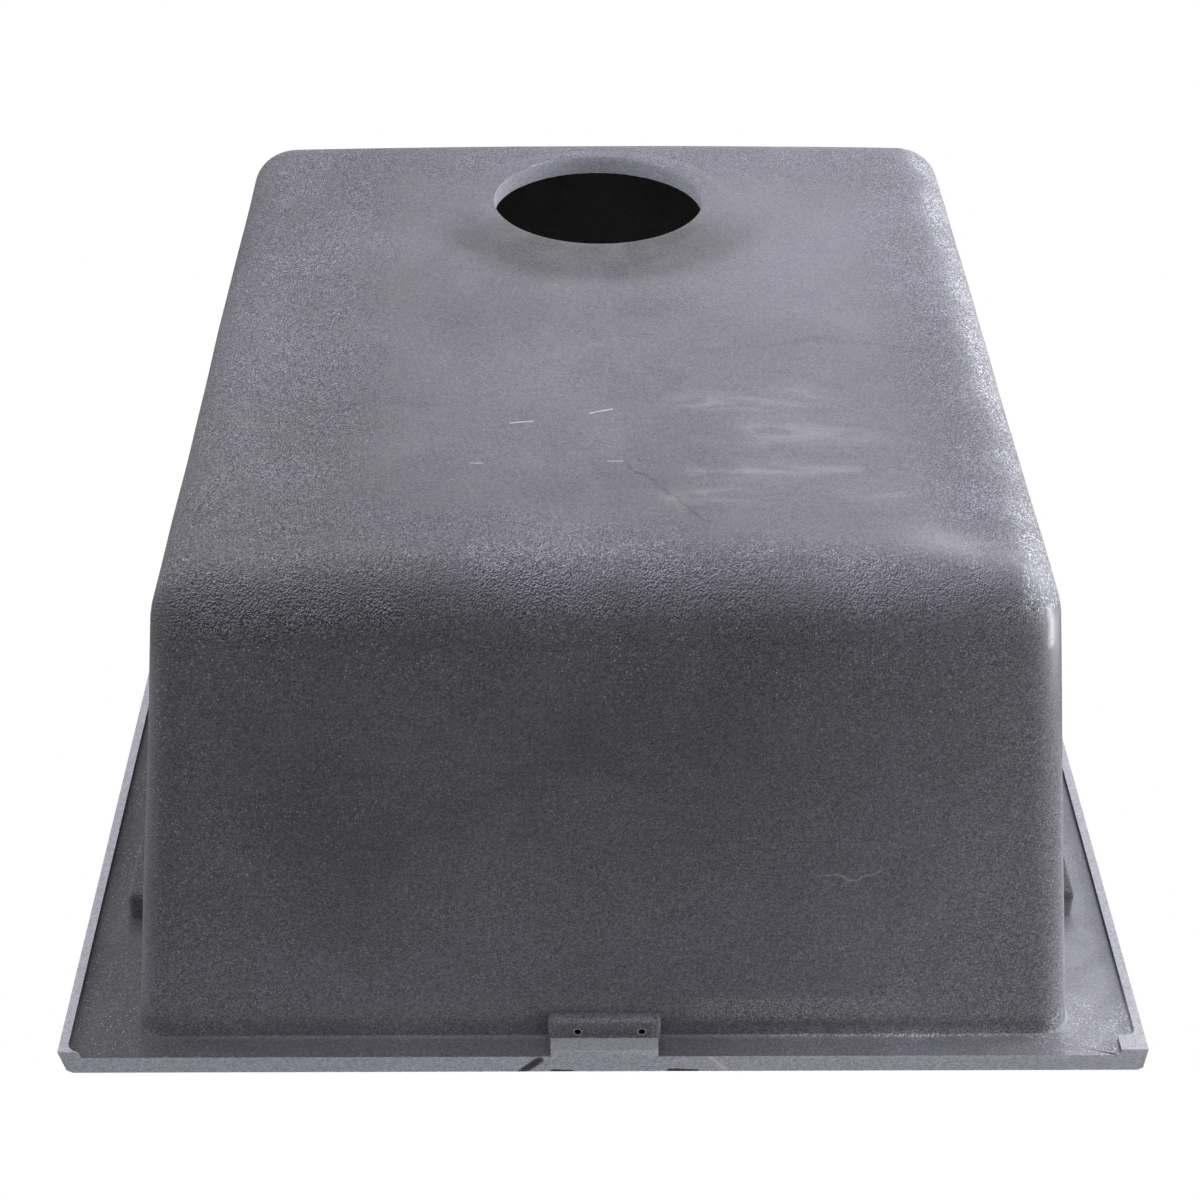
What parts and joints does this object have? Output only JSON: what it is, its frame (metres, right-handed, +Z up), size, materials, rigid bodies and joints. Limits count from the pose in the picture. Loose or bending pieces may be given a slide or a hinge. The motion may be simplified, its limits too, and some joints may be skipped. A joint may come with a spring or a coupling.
{
  "type": "bar sink",
  "caption": "Deep single-bowl composite bar sink with leaning walls, round drain hole near the rear, a flat rim with a ground lip and sleeved clip bosses under it.",
  "frame": {"origin": "under the middle of the rim, on the plane of the drain pad", "axes": "+X across, +Y from the front edge to the drain end, +Z up out of the bowl's mouth"},
  "size_m": [0.4, 0.445, 0.2034],
  "materials": {
    "composite": "matte, leathery cast skin",
    "sleeve": "plain moulded"
  },
  "bodies": {
    "root": {"sink_bowl": "composite", "clip_sleeve_front_1": "sleeve", "clip_sleeve_front_2": "sleeve", "clip_sleeve_rear_1": "sleeve", "clip_sleeve_rear_2": "sleeve", "clip_sleeve_left_1": "sleeve", "clip_sleeve_left_2": "sleeve", "clip_sleeve_left_3": "sleeve", "clip_sleeve_left_4": "sleeve", "clip_sleeve_right_1": "sleeve", "clip_sleeve_right_2": "sleeve", "clip_sleeve_right_3": "sleeve", "clip_sleeve_right_4": "sleeve"}
  },
  "joints": []
}
